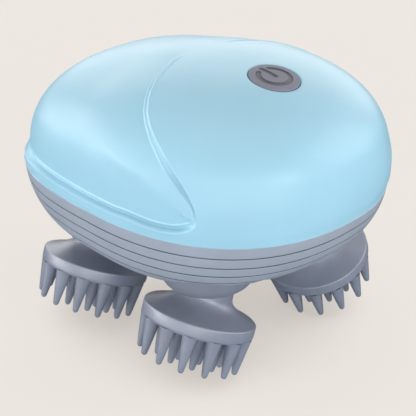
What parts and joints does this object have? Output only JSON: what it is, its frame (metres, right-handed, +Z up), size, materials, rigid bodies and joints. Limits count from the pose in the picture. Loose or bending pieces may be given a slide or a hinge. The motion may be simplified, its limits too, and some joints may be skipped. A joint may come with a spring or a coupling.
{
  "type": "electric scalp massager",
  "caption": "Palm-held scalp massager: an egg-shaped housing with a power button on top and tilted silicone heads with prongs turned by a geared motor underneath.",
  "frame": {"origin": "on the surface the prongs stand on, under the middle of the housing's box", "axes": "+X along the housing towards the button end, +Y to the left seen from above with the button end in front, +Z up"},
  "size_m": [0.1164, 0.0978, 0.0921],
  "materials": {
    "blue_shell": "pearly satin gloss, pale blue",
    "grey_shell": "satin, blue grey",
    "button_plastic": "satin, grey",
    "silicone": "matte silicone, blue grey",
    "dark_rubber": "matte",
    "acetal": "moulded acetal",
    "inner_plastic": "moulded ABS",
    "dark_plastic": "moulded",
    "steel": "bright steel",
    "bronze": "sintered bronze",
    "brass": "machined brass",
    "copper": "copper windings on steel laminations",
    "magnet": "ferrite",
    "board": "green solder mask",
    "cell_wrap": "shrink wrap",
    "red_wire": "PVC",
    "black_wire": "PVC",
    "white_wire": "PVC"
  },
  "bodies": {
    "housing": {"top_shell": "blue_shell", "bottom_shell": "grey_shell", "shell_gasket": "dark_rubber", "case_screws": "steel", "button_seal": "dark_rubber", "switch_body": "dark_plastic", "circuit_board": "board", "board_screws": "steel", "gear_plate": "inner_plastic", "plate_screws": "steel", "sun_axle": "steel", "idler_axle": "steel", "motor_can": "steel", "motor_magnets": "magnet", "motor_cap": "inner_plastic", "motor_screws": "steel", "battery_cell": "cell_wrap", "battery_holder": "dark_plastic", "charging_socket": "dark_plastic", "socket_seal": "dark_rubber", "motor_wires": "red_wire", "battery_wires": "black_wire", "charging_wires": "white_wire", "lower_bushes": "bronze", "upper_bushes": "bronze", "shaft_seals": "dark_rubber", "collar_front_left": "silicone", "collar_front_right": "silicone", "collar_rear_left": "silicone", "collar_rear_right": "silicone"},
    "button": {"button_cap": "button_plastic", "switch_plunger": "dark_plastic"},
    "sun_drive": {"sun_gear": "acetal"},
    "idler": {"idler_gear": "acetal"},
    "rotor": {"motor_armature": "copper", "motor_pinion": "brass"},
    "head_front_left": {"output_shaft_front_left": "steel", "head_gear_front_left": "acetal", "head_hub_front_left": "inner_plastic", "hub_screw_front_left": "steel", "massage_head_front_left": "silicone"},
    "head_front_right": {"output_shaft_front_right": "steel", "head_gear_front_right": "acetal", "head_hub_front_right": "inner_plastic", "hub_screw_front_right": "steel", "massage_head_front_right": "silicone"},
    "head_rear_left": {"output_shaft_rear_left": "steel", "head_gear_rear_left": "acetal", "head_hub_rear_left": "inner_plastic", "hub_screw_rear_left": "steel", "massage_head_rear_left": "silicone"},
    "head_rear_right": {"output_shaft_rear_right": "steel", "head_gear_rear_right": "acetal", "head_hub_rear_right": "inner_plastic", "hub_screw_rear_right": "steel", "massage_head_rear_right": "silicone"}
  },
  "joints": [
    {"name": "sun_spin", "type": "hinge", "parent": "housing", "child": "sun_drive", "pos_m": [-0.00024, 0, 0.04088], "axis": [0, 0, 1], "continuous": true},
    {"name": "idler_spin", "type": "hinge", "parent": "housing", "child": "idler", "pos_m": [-0.02824, 0, 0.04288], "axis": [0, 0, 1], "continuous": true},
    {"name": "motor_spin", "type": "hinge", "parent": "housing", "child": "rotor", "pos_m": [-0.01124, 0, 0.04788], "axis": [0, 0, 1], "continuous": true},
    {"name": "front_left_spin", "type": "hinge", "parent": "housing", "child": "head_front_left", "pos_m": [0.0238, 0.02404, 0.03788], "axis": [0, 0, 1], "continuous": true},
    {"name": "front_right_spin", "type": "hinge", "parent": "housing", "child": "head_front_right", "pos_m": [0.0238, -0.02404, 0.03788], "axis": [0, 0, 1], "continuous": true},
    {"name": "rear_left_spin", "type": "hinge", "parent": "housing", "child": "head_rear_left", "pos_m": [-0.02428, 0.02404, 0.03788], "axis": [0, 0, 1], "continuous": true},
    {"name": "rear_right_spin", "type": "hinge", "parent": "housing", "child": "head_rear_right", "pos_m": [-0.02428, -0.02404, 0.03788], "axis": [0, 0, 1], "continuous": true},
    {"name": "button_press", "type": "slide", "parent": "housing", "child": "button", "axis": [-0.184, 0, -0.9829], "range_m": [0, 0.0005], "stiffness_N_per_m": 2500, "springref_m": -0.0004}
  ],
  "couplings": [
    {"joint": "idler_spin", "follows": "sun_spin", "ratio": -3.6667},
    {"joint": "motor_spin", "follows": "sun_spin", "ratio": 17.111},
    {"joint": "front_left_spin", "follows": "sun_spin", "ratio": -1.8333},
    {"joint": "front_right_spin", "follows": "sun_spin", "ratio": -1.8333},
    {"joint": "rear_left_spin", "follows": "sun_spin", "ratio": -1.8333},
    {"joint": "rear_right_spin", "follows": "sun_spin", "ratio": -1.8333}
  ]
}
